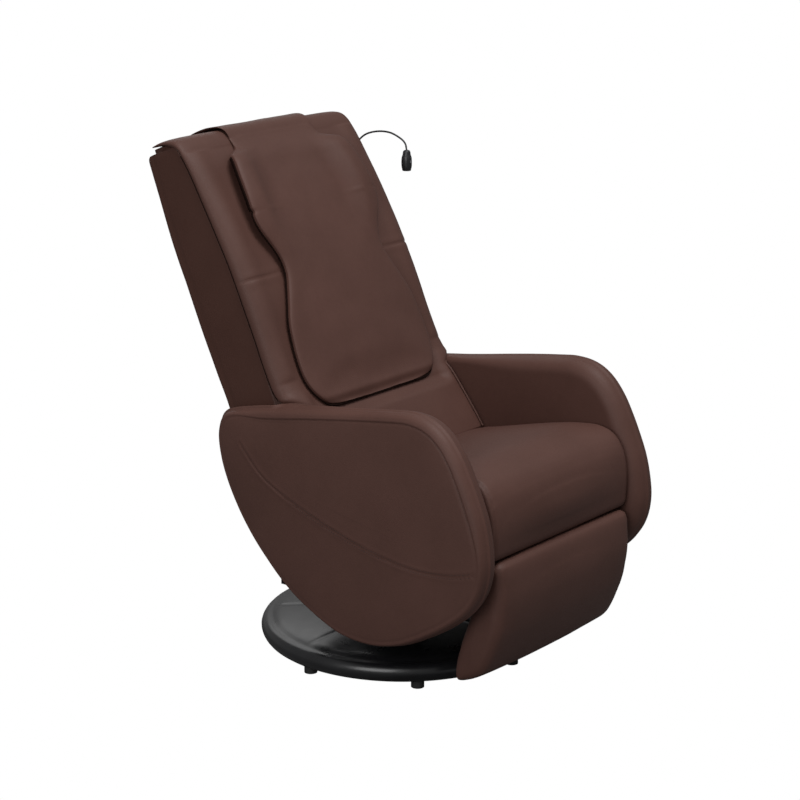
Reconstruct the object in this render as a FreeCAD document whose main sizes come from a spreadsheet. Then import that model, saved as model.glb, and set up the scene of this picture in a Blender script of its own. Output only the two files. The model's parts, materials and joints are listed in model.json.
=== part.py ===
import FreeCAD, Part
import math
import os

# Reclining massage chair on a swivel base.  Millimetres, +Z up, the chair faces -Y,
# the origin is on the floor under the swivel axis.

doc = FreeCAD.newDocument("massage_chair")
sheet = doc.addObject("Spreadsheet::Sheet", "dims")
size = {}
nodes = []


def cell(alias, value, note):
    row = len(size) + 1
    sheet.set("A%d" % row, note)
    sheet.set("B%d" % row, str(value))
    sheet.setAlias("B%d" % row, alias)
    size[alias] = value


for alias, value, note in (
    ("base_radius", 310.0, "outer radius of the round base"),
    ("plate_radius", 290.0, "radius of the steel plate in the base"),
    ("plate_low", 20.0, "underside of the base plate"),
    ("plate_thick", 5.0, "base plate thickness"),
    ("glide_radius", 14.0, "foot glide radius"),
    ("glide_circle", 276.0, "radius of the circle of foot glides"),
    ("column_radius", 45.0, "outer radius of the base column"),
    ("column_wall", 4.0, "wall of the base column"),
    ("bearing_low", 150.0, "underside of the turntable bearing"),
    ("bearing_outer", 100.0, "outer radius of the bearing races"),
    ("bearing_inner", 70.0, "inner radius of the bearing races"),
    ("race_thick", 6.0, "thickness of each race"),
    ("ball_radius", 4.95, "bearing ball radius"),
    ("swivel_side", 260.0, "side of the square swivel plate"),
    ("beam_section", 30.0, "section of the lower beams"),
    ("tube_section", 26.0, "section of the seat cross tubes"),
    ("tube_wall", 2.0, "wall of the steel tubes"),
    ("board_gap", 548.0, "width between the two arm boards"),
    ("arm_board_thick", 18.0, "thickness of an arm board"),
    ("arm_outer_pad", 23.0, "thickness of the outer arm pad"),
    ("arm_inner_pad", 31.0, "thickness of the inner arm pad"),
    ("seat_width", 474.0, "width of the seat cushion"),
    ("seat_board_thick", 14.0, "thickness of the seat board"),
    ("seat_board_low", 360.0, "underside of the seat board"),
    ("legrest_width", 470.0, "width of the leg rest"),
    ("legrest_board_thick", 12.0, "thickness of the leg rest board"),
    ("back_width", 544.0, "width of the back"),
    ("shell_wall", 8.0, "wall of the back shell"),
    ("back_tilt", 22.7, "lean of the back from upright, degrees"),
    ("frame_depth", 30.0, "depth of the back frame tubes"),
    ("frame_breadth", 20.0, "breadth of the back frame tubes"),
    ("frame_length", 700.0, "length of the back frame tubes"),
    ("rail_radius", 8.0, "guide rail radius"),
    ("screw_radius", 7.0, "lead screw radius"),
    ("journal_radius", 5.0, "lead screw journal radius"),
    ("shaft_radius", 8.0, "kneading shaft radius"),
    ("roller_radius", 20.0, "massage roller radius"),
    ("roller_width", 24.0, "massage roller width"),
    ("axle_radius", 5.0, "massage roller axle radius"),
    ("running_gap", 0.05, "radial clearance of a running fit"),
    ("pin_radius", 6.0, "hinge pin radius"),
    ("pad_thick", 24.0, "thickness of the loose back pad"),
    ("stem_radius", 2.0, "lamp stem radius"),
    ("plug_radius", 5.0, "radius of the plug at the foot of the lamp stem"),
    ("knuckle_radius", 5.0, "radius of the ball that carries the lamp head"),
    ("lens_radius", 7.9, "lamp lens radius"),
    ("button_radius", 2.5, "lamp button radius"),
    ("lever_reach", 78.0, "drop of the recline lever to the rod pin"),
):
    cell(alias, value, note)
doc.recompute()

half_gap = size["board_gap"] / 2
X_AXIS = FreeCAD.Vector(1, 0, 0)
Y_AXIS = FreeCAD.Vector(0, 1, 0)
Z_AXIS = FreeCAD.Vector(0, 0, 1)
ALONG_X = FreeCAD.Rotation(Y_AXIS, 90)
ALONG_Y = FreeCAD.Rotation(X_AXIS, -90)
UPRIGHT = FreeCAD.Rotation()

# The back is drawn upright in its own frame: x across, -y out of its front, z up it.
BACK_FOOT = FreeCAD.Vector(0, 269, 540)
BACK = FreeCAD.Placement(BACK_FOOT, FreeCAD.Rotation(X_AXIS, -size["back_tilt"]))
HOME = FreeCAD.Placement()
PIVOT_Y = 110.0
PIVOT_Z = 400.0
LEG_PIVOT_Y = -424.0
LEG_PIVOT_Z = 317.0


def d(alias):
    return "dims." + alias


def place(thing, frame, x, y, z, turn=UPRIGHT):
    thing.Placement = frame.multiply(FreeCAD.Placement(FreeCAD.Vector(x, y, z), turn))
    return thing


def bind(thing, **expressions):
    for name, text in expressions.items():
        thing.setExpression(name, str(text))
    return thing


def box(name, low, lengths, frame=HOME):
    """A box from its low corner and three lengths, which are numbers or sheet expressions."""
    thing = doc.addObject("Part::Box", name)
    bind(thing, Length=lengths[0], Width=lengths[1], Height=lengths[2])
    return place(thing, frame, *low)


def rod(name, radius, length, start, turn, frame=HOME):
    thing = doc.addObject("Part::Cylinder", name)
    bind(thing, Radius=radius, Height=length)
    return place(thing, frame, start[0], start[1], start[2], turn)


def ball(name, radius, centre, frame=HOME):
    thing = doc.addObject("Part::Sphere", name)
    bind(thing, Radius=radius)
    return place(thing, frame, *centre)


def fuse(name, *things):
    thing = doc.addObject("Part::MultiFuse", name)
    thing.Shapes = list(things)
    return thing


def cut(name, base, tool):
    thing = doc.addObject("Part::Cut", name)
    thing.Base = base
    thing.Tool = tool
    return thing


def common(name, first, second):
    thing = doc.addObject("Part::Common", name)
    thing.Base = first
    thing.Tool = second
    return thing


def group(name, things):
    """Identical loose pieces that share one node."""
    thing = doc.addObject("Part::Compound", name)
    thing.Links = list(things)
    return thing


def node(thing, label):
    thing.Label = label
    nodes.append(thing)
    return thing


def origin_plane(body, role):
    return [item for item in body.Origin.OriginFeatures if item.Role == role][0]


def outline_body(name, role, runs, length, centred=True, frame=HOME, shift=0.0):
    """A body padded from a closed outline on an origin plane.

    runs is a list of points; a run (via, end) of two points is an arc through via.
    On YZ_Plane the outline is (y, z) and the pad grows along x.
    """
    body = doc.addObject("PartDesign::Body", name)
    sketch = body.newObject("Sketcher::SketchObject", name + "_outline")
    sketch.AttachmentSupport = [(origin_plane(body, role), "")]
    sketch.MapMode = "FlatFace"
    draw_outline(sketch, runs)
    pad = body.newObject("PartDesign::Pad", name + "_pad")
    pad.Profile = sketch
    pad.setExpression("Length", length)
    pad.Midplane = centred
    body.Tip = pad
    body.Placement = frame.multiply(FreeCAD.Placement(FreeCAD.Vector(shift, 0, 0), UPRIGHT))
    return body


def draw_outline(sketch, runs):
    here = FreeCAD.Vector(runs[0][0], runs[0][1], 0)
    for run in runs[1:] + [runs[0]]:
        if isinstance(run[0], tuple):
            via = FreeCAD.Vector(run[0][0], run[0][1], 0)
            there = FreeCAD.Vector(run[1][0], run[1][1], 0)
            sketch.addGeometry(Part.Arc(here, via, there), False)
        else:
            there = FreeCAD.Vector(run[0], run[1], 0)
            if there.distanceToPoint(here) > 1e-6:
                sketch.addGeometry(Part.LineSegment(here, there), False)
        here = there


def turned_body(name, runs):
    """A body revolved about z from a closed (radius, height) outline."""
    body = doc.addObject("PartDesign::Body", name)
    sketch = body.newObject("Sketcher::SketchObject", name + "_outline")
    sketch.AttachmentSupport = [(origin_plane(body, "XZ_Plane"), "")]
    sketch.MapMode = "FlatFace"
    draw_outline(sketch, runs)
    turn = body.newObject("PartDesign::Revolution", name + "_turn")
    turn.Profile = sketch
    turn.ReferenceAxis = (sketch, ["V_Axis"])
    turn.Angle = 360
    body.Tip = turn
    return body


# ---------------------------------------------------------------- base

def make_base():
    rim = size["base_radius"]
    low = size["plate_low"]
    cover = turned_body("cover", [
        (64, 76), ((170, 74), (268, 66)), ((299, 59), (rim, 42)), ((308, 29), (300, low)),
        (295, low), (303, 38), (296, 54), (268, 61), (64, 70)])
    node(cover, "base_cover")

    plate = rod("plate_disc", d("plate_radius"), d("plate_thick"), (0, 0, low), UPRIGHT)
    bore = rod("plate_bore", 30, 20, (0, 0, low - 5), UPRIGHT)
    node(cut("plate", plate, bore), "base_plate")

    glides = []
    for index in range(7):
        angle = math.radians(225.5 + index * 360 / 7)
        spot = (size["glide_circle"] * math.cos(angle), size["glide_circle"] * math.sin(angle), 0)
        glides.append(rod("glide", d("glide_radius"), d("plate_low"), spot, UPRIGHT))
    node(group("glides", glides), "foot_glides")

    top = size["bearing_low"]
    column = turned_body("column", [
        (size["column_radius"] - size["column_wall"], 25), (80, 25), (80, 31), (size["column_radius"], 37),
        (size["column_radius"], top - 12), (size["bearing_outer"], top - 6), (size["bearing_outer"], top),
        (size["column_radius"] - size["column_wall"], top)])
    node(column, "base_column")

    screws = []
    for index in range(6):
        angle = math.radians(30 + 60 * index)
        spot = (66 * math.cos(angle), 66 * math.sin(angle), 34.5)
        screws.append(rod("column_screw", 6, 6, spot, UPRIGHT))
    node(group("screws", screws), "column_screws")


def make_bearing():
    low = size["bearing_low"]
    ball_mid = low + size["race_thick"] + 5

    def race(name, z):
        ring = rod(name + "_disc", d("bearing_outer"), d("race_thick"), (0, 0, z), UPRIGHT)
        hole = rod(name + "_hole", d("bearing_inner"), 40, (0, 0, z - 10), UPRIGHT)
        return cut(name, ring, hole)

    node(race("low_race", low), "swivel_race_lower")
    balls = []
    for index in range(16):
        angle = 2 * math.pi * index / 16
        balls.append(ball("race_ball", d("ball_radius"), (85 * math.cos(angle), 85 * math.sin(angle), ball_mid)))
    node(group("race_balls", balls), "swivel_balls")
    node(race("high_race", ball_mid + 5), "swivel_race_upper")
    side = size["swivel_side"]
    node(box("top_plate", (-side / 2, -side / 2, 172), (d("swivel_side"), d("swivel_side"), 8)), "swivel_plate")


# ---------------------------------------------------------------- seat structure

def tube(name, low, section, y_size):
    """A square steel tube that spans the gap between the arm boards."""
    span = d("board_gap")
    wall = size["tube_wall"]
    outer = box(name + "_skin", (-half_gap, low[0], low[1]), (span, section, section))
    inner = box(name + "_bore", (-half_gap - 1, low[0] + wall, low[1] + wall),
                (span + " + 2", section + " - 2 * dims.tube_wall", section + " - 2 * dims.tube_wall"))
    return cut(name, outer, inner)


def make_seat_frame():
    node(tube("beam_a", (-110, 180), d("beam_section"), 30), "lower_beam_front")
    node(tube("beam_b", (80, 180), d("beam_section"), 30), "lower_beam_rear")
    node(tube("cross_a", (-350, 334), d("tube_section"), 26), "seat_cross_tube_front")
    node(tube("cross_b", (30, 334), d("tube_section"), 26), "seat_cross_tube_rear")
    wide = size["seat_width"]
    node(box("board", (-wide / 2, -400, size["seat_board_low"]),
             (d("seat_width"), 480, d("seat_board_thick"))), "seat_board")


ARM = [(205, 561), (-235, 626), ((-310, 617), (-362, 578)), ((-422, 465), (-446, 350)),
       ((-432, 276), (-375, 213)), ((-275, 148), (-157, 113)), ((-20, 141), (110, 228)),
       ((215, 355), (256, 485)), ((247, 535), (205, 561))]


def make_arm(side, label):
    board = outline_body(label + "_board", "YZ_Plane", ARM, d("arm_board_thick"),
                         shift=side * (half_gap + size["arm_board_thick"] / 2))
    node(board, label + "_arm_board")
    outer_mid = half_gap + size["arm_board_thick"] + size["arm_outer_pad"] / 2
    outer = outline_body(label + "_outer", "YZ_Plane", ARM, d("arm_outer_pad"), shift=side * outer_mid)
    node(outer, label + "_arm_outer_pad")
    # The inner pad stops at a slanted end that follows the back's front edge.
    inner = outline_body(label + "_inner", "YZ_Plane", ARM, d("arm_inner_pad"),
                         shift=side * (half_gap - size["arm_inner_pad"] / 2))
    keep = box(label + "_ahead", (-400, -1000, -600), (800, 838, 900), BACK)
    ends = []
    for y, z, section in ((-110, 180, 30), (80, 180, 30), (-350, 334, 26), (30, 334, 26)):
        ends.append(box(label + "_end", (-half_gap - 5, y - 0.5, z - 0.5),
                        (d("board_gap") + " + 10", section + 1, section + 1)))
    trimmed = common(label + "_inner_trim", inner, keep)
    node(cut(label + "_inner_cut", trimmed, fuse(label + "_ends", *ends)), label + "_arm_inner_pad")


SEAT = [(20, 374), (20, 428), (-50, 436), (-66, 447), ((-202, 480), (-340, 506)), ((-392, 500), (-412, 436)),
        (-436, 334), (-405, 334), (-405, 374)]


def make_seat_cushion():
    node(outline_body("cushion", "YZ_Plane", SEAT, d("seat_width")), "seat_cushion")


def make_hinge_brackets():
    """Ears that carry the back's pivot pins, welded on the rear cross tube."""
    ears = []
    pins = []
    for side in (-1, 1):
        ear = outline_body("ear", "YZ_Plane", [
            (32, 360.2), (60, 360.2), (122, 382), ((133, 400), (122, 418)), (98, 418), (32, 380)],
            "8", shift=side * 243)
        hole = rod("ear_hole", d("pin_radius"), 20, (side * 243 - 10, PIVOT_Y, PIVOT_Z), ALONG_X)
        ears.append(cut("ear_drilled", ear, hole))
        pins.append(rod("back_pin", d("pin_radius"), 40, (side * 231 - 20, PIVOT_Y, PIVOT_Z), ALONG_X))
    node(group("ears", ears), "back_hinge_brackets")

    lugs = []
    for side in (-1, 1):
        lug = outline_body("lug", "YZ_Plane", [
            (-350, 334), (-350, 350), (-404, 350), (-404, 330), (LEG_PIVOT_Y - 9, 322),
            ((LEG_PIVOT_Y, 307), (LEG_PIVOT_Y + 9, 313)), (-380, 334)], "6", shift=side * 190)
        hole = rod("lug_hole", d("pin_radius"), 20, (side * 190 - 10, LEG_PIVOT_Y, LEG_PIVOT_Z), ALONG_X)
        lugs.append(cut("lug_drilled", lug, hole))
        pins.append(rod("leg_pin", d("pin_radius"), 40, (side * 190 - 20, LEG_PIVOT_Y, LEG_PIVOT_Z), ALONG_X))
    node(group("lugs", lugs), "legrest_hinge_brackets")
    node(group("pins", pins), "hinge_pins")


def make_recline_drive():
    rod_z = PIVOT_Z - size["lever_reach"]
    rod_x = 45
    barrel = rod("barrel", 14, 285, (rod_x, -260, rod_z), ALONG_Y)
    bore = rod("barrel_bore", "7 + dims.running_gap", 240, (rod_x, -210, rod_z), ALONG_Y)
    gear_case = box("gear_case", (rod_x - 22, -300, 270), (44, 48, 75))
    motor = rod("motor_can", 20, 110, (rod_x, -253, 287), ALONG_Y)
    hanger = box("hanger", (rod_x - 12, -222, rod_z + 8), (24, 30, size["seat_board_low"] - rod_z - 8))
    solid = fuse("drive_solid", barrel, gear_case, motor, hanger)
    node(cut("drive", solid, bore), "recline_actuator")

    pin_y = PIVOT_Y + size["lever_reach"] * math.tan(math.radians(17.5))
    ram = rod("ram", 7, pin_y - 24 + 120, (rod_x, -120, rod_z), ALONG_Y)
    bridge = box("ram_bridge", (rod_x - 9.5, pin_y - 29, rod_z - 8), (19, 7, 16))
    cheeks = []
    for offset in (-9.5, 5.5):
        cheeks.append(box("cheek", (rod_x + offset, pin_y - 23, rod_z - 8), (4, 31, 16)))
    pin = rod("ram_pin", d("axle_radius"), 19, (rod_x - 9.5, pin_y, rod_z), ALONG_X)
    node(fuse("ram_all", ram, bridge, pin, *cheeks), "recline_rod")


REAR_COVER = FreeCAD.Placement(FreeCAD.Vector(0, 112, 240), FreeCAD.Rotation(X_AXIS, -35.2))


def make_rear_cover():
    panel = box("rear_panel", (-half_gap + 1, -4, 0), (2 * half_gap - 2, 4, 104), REAR_COVER)
    inlet_hole = box("inlet_hole", (-116, -10, 34), (32, 20, 25), REAR_COVER)
    switch_hole = box("switch_hole", (-60, -10, 38), (24, 20, 16), REAR_COVER)
    once = cut("rear_panel_a", panel, inlet_hole)
    node(cut("rear_panel_b", once, switch_hole), "rear_lower_cover")
    inlet = box("inlet_case", (-116, -26, 34), (32, 28, 25), REAR_COVER)
    socket = box("inlet_socket", (-112, -18, 38), (24, 24, 17), REAR_COVER)
    blades = [box("inlet_blade", (-108 + 7 * step, -20, 45), (2, 14, 4), REAR_COVER) for step in range(3)]
    node(fuse("inlet", cut("inlet_open", inlet, socket), *blades), "power_inlet")
    node(box("rocker", (-59, -7, 39), (22, 9, 14), REAR_COVER), "power_switch")
    node(box("electronics", (-210, -240, 300), (130, 200, 60)), "control_box")


# ---------------------------------------------------------------- leg rest

LEG = [(LEG_PIVOT_Y - 12, LEG_PIVOT_Z), (-439, 250), ((-428, 170), (-382, 84)), ((-362, 52), (-328, 60)),
       (-322, 80), (-360, 200), (-372, 300), ((-388, 320), (-404, 326)), (LEG_PIVOT_Y, 329),
       ((LEG_PIVOT_Y - 8.5, LEG_PIVOT_Z + 8.5), (LEG_PIVOT_Y - 12, LEG_PIVOT_Z))]


def make_legrest():
    whole = outline_body("leg_pad", "YZ_Plane", LEG, d("legrest_width"))
    notches = []
    straps = []
    for side in (-1, 1):
        notches.append(box("leg_notch", (side * 190 - 24, -460, 285), (48, 100, 60)))
        strap = outline_body("strap", "YZ_Plane", [
            (LEG_PIVOT_Y + 11, LEG_PIVOT_Z + 4), ((LEG_PIVOT_Y, LEG_PIVOT_Z + 11), (LEG_PIVOT_Y - 11, LEG_PIVOT_Z)),
            (-420, 292), (-372, 268), (-358, 282), (-385, 312)], "6", shift=side * 199)
        hole = rod("strap_hole", "dims.pin_radius + dims.running_gap", 20,
                   (side * 199 - 10, LEG_PIVOT_Y, LEG_PIVOT_Z), ALONG_X)
        straps.append(cut("strap_drilled", strap, hole))
    board = outline_body("leg_board", "YZ_Plane", [
        (-370, 280), (-358, 200), (-330, 110), (-318, 113), (-346, 203), (-358, 282)], "400")
    frame = fuse("leg_frame", board, *straps)
    notched = cut("leg_notched", whole, fuse("leg_notches", *notches))
    node(cut("leg_foam", notched, frame), "legrest_pad")
    node(frame, "legrest_frame")


# ---------------------------------------------------------------- back

def make_back_shell():
    outer = outline_body("shell_outer", "YZ_Plane", [
        (0, -100), (0, 556), ((-5, 562), (-18, 565)), (-84, 562), (-104, 522), ((-128, 400), (-148, 240)),
        (-150, -150), (-132, -215), ((-93, -231), (-60, -225))], d("back_width"), frame=BACK)
    inner = outline_body("shell_inner", "YZ_Plane", [
        (-8, -300), (-8, 556), (-300, 556), (-300, -300)], "dims.back_width - 2 * dims.shell_wall", frame=BACK)
    node(cut("shell", outer, inner), "back_shell")


def make_back_cushion():
    wrap = outline_body("cover_wrap", "YZ_Plane", [
        (-151, -150), (-158, -150), (-158, -24), (-178, -24), (-180, 60), ((-176, 180), (-163, 310)),
        ((-150, 400), (-126, 495)), ((-107, 548), (-62, 580)), (-20, 580), ((8, 577), (16, 570)), (16, 545),
        (9, 545), (9, 566.5), (-20, 566.5), (-86, 567), (-107, 522), ((-131, 400), (-151, 240))],
        d("back_width"), frame=BACK)
    core = outline_body("cover_core", "YZ_Plane", [
        (-122, -150), (-122, 400), (-112, 490), (-112, 505), (-135, 400), (-155, 240), (-155, -150)],
        "dims.back_width - 2 * dims.shell_wall - 2", frame=BACK)
    lumbar = outline_body("cover_lumbar", "YZ_Plane", [
        (-150, 0), (-179, 0), ((-190, -60), (-205, -120)), ((-226, -165), (-255, -204)), (-190, -196),
        (-150, -150)], "dims.seat_width + 4", frame=BACK)
    node(fuse("cover", wrap, core, lumbar), "back_cushion")


def make_back_frame():
    depth = size["frame_depth"]
    for side, label in ((-1, "left"), (1, "right")):
        low_x = side * 225 - size["frame_breadth"] / 2
        post = box(label + "_post", (low_x, -93 - depth / 2, -208),
                   (d("frame_breadth"), d("frame_depth"), d("frame_length")), BACK)
        hole = rod(label + "_post_hole", "dims.pin_radius + dims.running_gap", 40,
                   (low_x - 10, PIVOT_Y, PIVOT_Z), ALONG_X)
        node(cut(label + "_upright", post, hole), "back_frame_" + label)
    bars = []
    for height in (-145, 474):
        bar = box("bar", (-215, -108, height), (430, 90, 18), BACK)
        hole = rod("bar_hole", "dims.journal_radius + dims.running_gap", 40, (0, -30, height - 10), UPRIGHT, BACK)
        bars.append(cut("bar_drilled", bar, hole))
    node(group("bars", bars), "back_crossbars")
    rails = [rod("rail", d("rail_radius"), 601, (side * 150, -30, -127), UPRIGHT, BACK) for side in (-1, 1)]
    node(group("rails", rails), "guide_rails")
    tube_bar = rod("torque_tube", 14, 430, (-215, PIVOT_Y, PIVOT_Z), ALONG_X)
    tube_bore = rod("torque_bore", 8, 450, (-225, PIVOT_Y, PIVOT_Z), ALONG_X)
    lean = math.radians(17.5)
    reach = size["lever_reach"]
    end = reach + 17

    def lever_point(along, across):
        return (PIVOT_Y + along * math.sin(lean) + across * math.cos(lean),
                PIVOT_Z - along * math.cos(lean) + across * math.sin(lean))

    blade = outline_body("blade", "YZ_Plane", [
        lever_point(0, -13), lever_point(end - 8, -13), (lever_point(end, 0), lever_point(end - 8, 13)),
        lever_point(0, 13)], "8", shift=45)
    slot_half = size["axle_radius"] + 0.7
    near = reach - 6.5
    far = reach / math.cos(lean) + 6.5
    slot = outline_body("slot", "YZ_Plane", [
        lever_point(near, -slot_half), lever_point(far, -slot_half), lever_point(far, slot_half),
        lever_point(near, slot_half)], "20", shift=45)
    node(cut("lever", fuse("lever_solid", tube_bar, blade), fuse("lever_holes", slot, tube_bore)),
         "recline_lever")


def make_lead_screw():
    core = rod("screw_core", d("screw_radius"), 600, (0, -30, -126.5), UPRIGHT, BACK)
    ends = [rod("journal", d("journal_radius"), 20, (0, -30, height), UPRIGHT, BACK) for height in (-144, 472)]
    node(fuse("screw", core, *ends), "lead_screw")
    can = rod("lift_can", 26, 52, (0, -36, -198), UPRIGHT, BACK)
    node(can, "lift_motor")


CARRIAGE_Z = 150.0
SHAFT_DEPTH = -74.0


def make_carriage():
    plate = box("carriage_sheet", (-172, -50, CARRIAGE_Z - 75), (344, 5, 150), BACK)
    cheeks = []
    for x in (-142, 136):
        cheek = box("carriage_cheek", (x, -96, CARRIAGE_Z - 22), (6, 48, 44), BACK)
        cheeks.append(cheek)
    shaft_bore = rod("cheek_bore", "dims.shaft_radius + dims.running_gap", 320,
                     (-160, SHAFT_DEPTH, CARRIAGE_Z), ALONG_X, BACK)
    node(cut("carriage_solid", fuse("carriage_all", plate, *cheeks), shaft_bore), "carriage_plate")
    bushes = []
    for side in (-1, 1):
        for step in (-60, 36):
            block = box("bush_block", (side * 150 - 14, -45, CARRIAGE_Z + step), (28, 30, 24), BACK)
            hole = rod("bush_hole", "dims.rail_radius + dims.running_gap", 60,
                       (side * 150, -30, CARRIAGE_Z + step - 10), UPRIGHT, BACK)
            bushes.append(cut("bush", block, hole))
    node(group("bushes", bushes), "guide_bushes")
    nut = box("nut_block", (-16, -45, CARRIAGE_Z - 15), (32, 30, 30), BACK)
    nut_hole = rod("nut_hole", "dims.screw_radius + dims.running_gap", 60, (0, -30, CARRIAGE_Z - 30), UPRIGHT, BACK)
    node(cut("nut", nut, nut_hole), "lead_screw_nut")
    can = rod("knead_can", 21, 70, (0, -74, CARRIAGE_Z - 144), UPRIGHT, BACK)
    node(can, "kneading_motor")
    case = box("knead_case", (-18, -98, CARRIAGE_Z - 74), (36, 48, 98), BACK)
    case_bore = rod("case_bore", "dims.shaft_radius + dims.running_gap", 60,
                    (-30, SHAFT_DEPTH, CARRIAGE_Z), ALONG_X, BACK)
    node(cut("knead_box", case, case_bore), "kneading_gearbox")


def make_kneading():
    shaft = rod("knead_bar", d("shaft_radius"), 290, (-145, SHAFT_DEPTH, CARRIAGE_Z), ALONG_X, BACK)
    hubs = [rod("eccentric", 15, 12, (x, SHAFT_DEPTH + 3, CARRIAGE_Z), ALONG_X, BACK) for x in (-66, 54)]
    node(fuse("knead_all", shaft, *hubs), "kneading_shaft")
    for side, label in ((-1, "left"), (1, "right")):
        ring = rod(label + "_ring", 23, 8, (side * 60 - 4, SHAFT_DEPTH, CARRIAGE_Z), ALONG_X, BACK)
        legs = [ring]
        for way in (-1, 1):
            leg = outline_body(label + "_leg", "YZ_Plane", [
                (-62, CARRIAGE_Z + way * 10), (-82, CARRIAGE_Z + way * 62), (-96, CARRIAGE_Z + way * 62),
                (-94, CARRIAGE_Z + way * 10)], "8", frame=BACK, shift=side * 60)
            end = rod(label + "_boss", 10, 8, (side * 60 - 4, -89, CARRIAGE_Z + way * 60), ALONG_X, BACK)
            axle_start = 60 if side > 0 else -94
            axle = rod(label + "_axle", d("axle_radius"), 34, (axle_start, -89, CARRIAGE_Z + way * 60), ALONG_X, BACK)
            legs += [leg, end, axle]
        bore = rod(label + "_bore", 18.6, 20, (side * 60 - 10, SHAFT_DEPTH, CARRIAGE_Z), ALONG_X, BACK)
        node(cut(label + "_knead_arm", fuse(label + "_arm_solid", *legs), bore), "massage_arm_" + label)
        for way, word in ((1, "upper"), (-1, "lower")):
            start = 66 if side > 0 else -66 - size["roller_width"]
            wheel = rod("wheel", d("roller_radius"), d("roller_width"), (start, -89, CARRIAGE_Z + way * 60), ALONG_X, BACK)
            hole = rod("wheel_hole", "dims.axle_radius + dims.running_gap", 60,
                       (start - 10, -89, CARRIAGE_Z + way * 60), ALONG_X, BACK)
            node(cut("roller", wheel, hole), "roller_%s_%s" % (label, word))


# ---------------------------------------------------------------- loose pad and lamp

def make_back_pad():
    thick = size["pad_thick"]
    side_view = [
        (-193, -64), (-183, 0), (-181, 60), ((-178, 180), (-165, 310)), ((-153, 400), (-130, 495)), (-121, 540),
        (-121 - thick, 548), (-130 - thick, 495), ((-153 - thick, 400), (-165 - thick, 310)),
        ((-178 - thick, 180), (-181 - thick, 60)), (-183 - thick, 0),
        (-193 - thick, -64)]
    slab = outline_body("pad_slab", "YZ_Plane", side_view, "440", frame=BACK)
    front = [(-186, 508), (-204, 440), (-206, 380), (-184, 290), (-168, 240), (-182, 190), (-206, 120), (-216, 36),
             ((-206, -44), (-150, -64)), (150, -64), ((206, -44), (216, 36)), (206, 120), (182, 190), (168, 240),
             (184, 290), (206, 380), (204, 440), (186, 508), ((180, 540), (150, 548)), (-150, 548),
             ((-180, 540), (-186, 508))]
    plan = outline_body("pad_plan", "XZ_Plane", front, "800", frame=BACK)
    bolsters = []
    for side in (-1, 1):
        start = FreeCAD.Vector(side * 160, -190, 330)
        end = FreeCAD.Vector(side * 172, -158, 480)
        along = end.sub(start)
        turn = FreeCAD.Rotation(Z_AXIS, along)
        bolsters.append(rod("wing", 24, along.Length, tuple(start), turn, BACK))
        bolsters.append(ball("wing_low", 24, tuple(start), BACK))
        bolsters.append(ball("wing_high", 24, tuple(end), BACK))
    node(fuse("pad_all", common("pad_trim", slab, plan), *bolsters), "back_pad")
    # The strap of the pad goes over the top of the back and hangs behind it.
    flap = outline_body("flap_strip", "YZ_Plane", [
        (-117, 552), ((-102, 566), (-64, 583)), (-20, 583), ((12, 580), (19, 570)), (19, 470), (23, 470),
        (23, 572), ((14, 586), (-20, 588)), (-64, 588), ((-106, 571), (-123, 552))], "390", frame=BACK)
    node(flap, "pad_strap")


LAMP_X = 294.0
LAMP_ROOT = (380.0, 1000.0)
BUTTON_DROP = 22.0


def stem_wire(points, radii):
    """Straight runs joined by tangent arcs."""
    edges = []
    here = points[0]
    for index in range(1, len(points) - 1):
        corner = points[index]
        back = (points[index - 1] - corner).normalize()
        ahead = (points[index + 1] - corner).normalize()
        half_turn = (math.pi - back.getAngle(ahead)) / 2
        reach = radii[index - 1] * math.tan(half_turn)
        entry = corner + back * reach
        leave = corner + ahead * reach
        inward = (back + ahead).normalize()
        depth = radii[index - 1] * (1 / math.cos(half_turn) - 1)
        middle = corner + inward * depth
        edges.append(Part.LineSegment(here, entry).toShape())
        edges.append(Part.Arc(entry, middle, leave).toShape())
        here = leave
    edges.append(Part.LineSegment(here, points[-1]).toShape())
    return Part.Wire(edges)


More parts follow.
